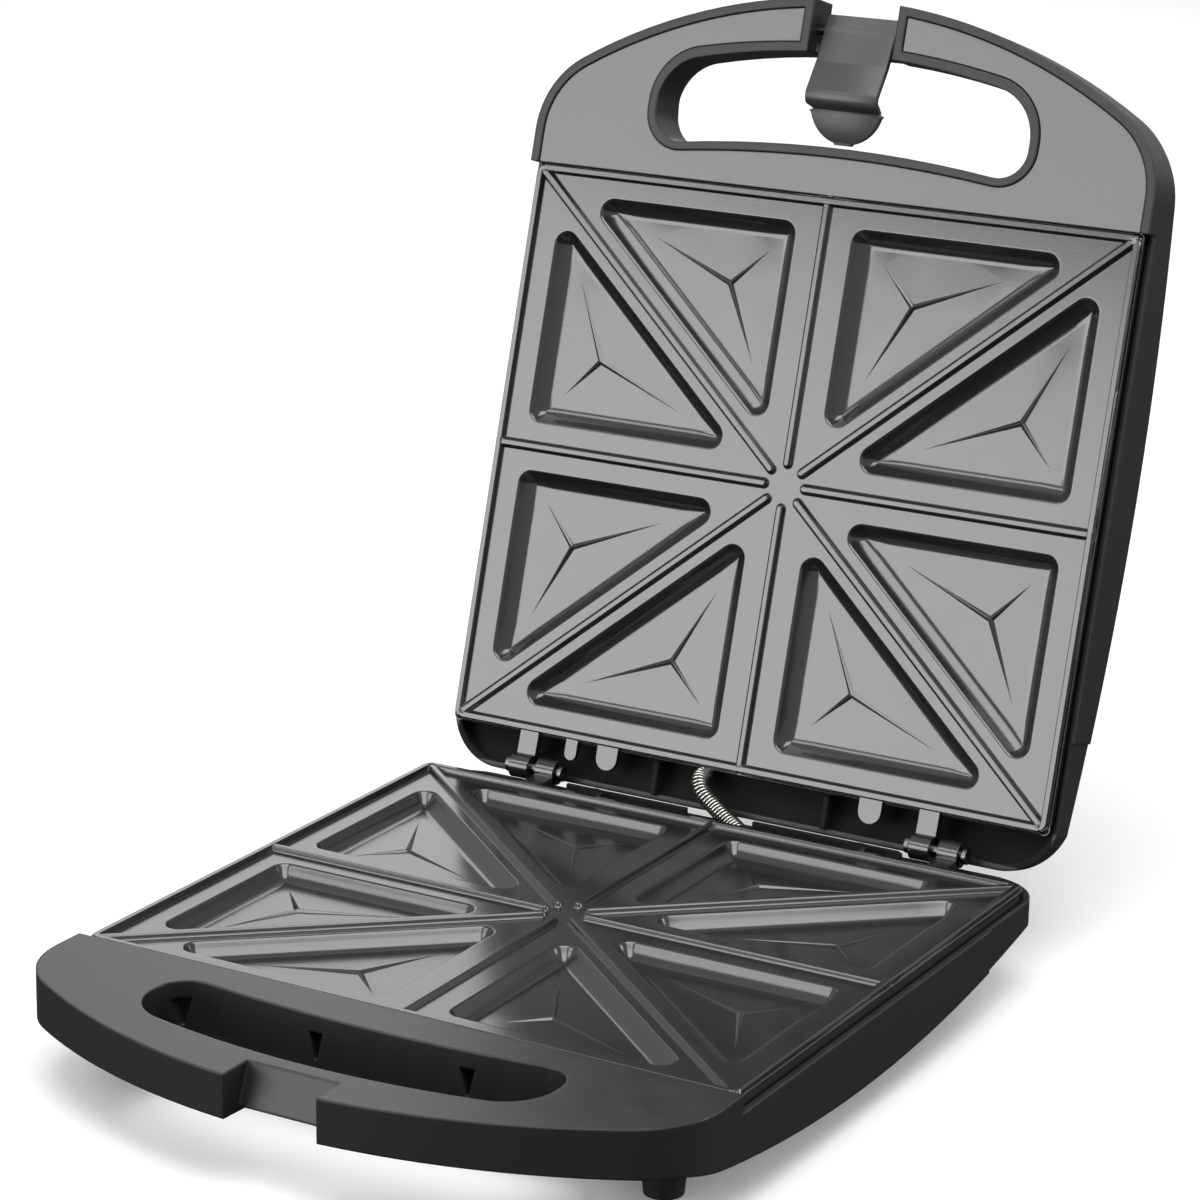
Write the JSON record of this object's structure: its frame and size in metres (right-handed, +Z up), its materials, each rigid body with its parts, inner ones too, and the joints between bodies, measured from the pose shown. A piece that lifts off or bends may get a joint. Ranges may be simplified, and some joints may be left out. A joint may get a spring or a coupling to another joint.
{
  "type": "sandwich toaster",
  "caption": "Hinged countertop sandwich toaster: a base and a swinging lid, each with a plate of triangular pockets, finger-hole handles and a swinging front latch.",
  "frame": {"origin": "on the surface it stands on, under the middle of the lower cooking plate", "axes": "+Z up, +Y towards the hinge, +X to the right of someone facing the handle"},
  "size_m": [0.2558, 0.4008, 0.332],
  "materials": {
    "housing": "fine satin moulded",
    "handle_cover": "satin moulded",
    "nonstick_plate": "glossy non-stick coating",
    "foot_rubber": "matt",
    "heater_tube": "oxidised",
    "spring_steel": "rolled sheet",
    "shield_sheet": "bright sheet",
    "screw_steel": "zinc plated",
    "pin_steel": "drawn",
    "guard_steel": "bright wire",
    "lead_sleeve": "glass-fibre sleeve",
    "latch_plastic": "satin moulded",
    "gland_plastic": "matt",
    "terminal_plastic": "moulded",
    "thermostat_metal": "satin",
    "fuse_metal": "satin",
    "red_lens": "clear red",
    "green_lens": "clear green"
  },
  "bodies": {
    "base": {"base_shell": "housing", "cord_gland": "gland_plastic", "front_left_foot": "foot_rubber", "front_right_foot": "foot_rubber", "lead_bundle": "lead_sleeve", "lead_guard_spring": "guard_steel", "left_hinge_pin": "pin_steel", "lower_cooking_plate": "nonstick_plate", "lower_element_clamp_1": "spring_steel", "lower_element_clamp_2": "spring_steel", "lower_element_clamp_3": "spring_steel", "lower_element_clamp_4": "spring_steel", "lower_heat_shield": "shield_sheet", "lower_heating_element": "heater_tube", "lower_plate_screws": "screw_steel", "rear_left_foot": "foot_rubber", "rear_right_foot": "foot_rubber", "right_hinge_pin": "pin_steel", "terminal_block": "terminal_plastic"},
    "lid": {"handle_cover_screws": "screw_steel", "lamp_holder": "terminal_plastic", "latch_pin": "pin_steel", "lid_handle_cover": "handle_cover", "lid_shell": "housing", "power_lamp_lens": "red_lens", "ready_lamp_lens": "green_lens", "thermal_fuse": "fuse_metal", "thermostat": "thermostat_metal", "upper_cooking_plate": "nonstick_plate", "upper_element_clamp_1": "spring_steel", "upper_element_clamp_2": "spring_steel", "upper_element_clamp_3": "spring_steel", "upper_element_clamp_4": "spring_steel", "upper_heat_shield": "shield_sheet", "upper_heating_element": "heater_tube", "upper_plate_screws": "screw_steel"},
    "latch": {"latch": "latch_plastic"}
  },
  "joints": [
    {"name": "lid_hinge", "type": "hinge", "parent": "base", "child": "lid", "pos_m": [0, 0.1217, 0.041], "axis": [1, 0, 0], "range_deg": [0, 106], "deforming": ["lead_guard_spring", "lead_bundle"]},
    {"name": "latch_pivot", "type": "hinge", "parent": "lid", "child": "latch", "pos_m": [0, 0.21172, 0.31864], "axis": [1, 0, 0], "range_deg": [-120, 0]}
  ]
}
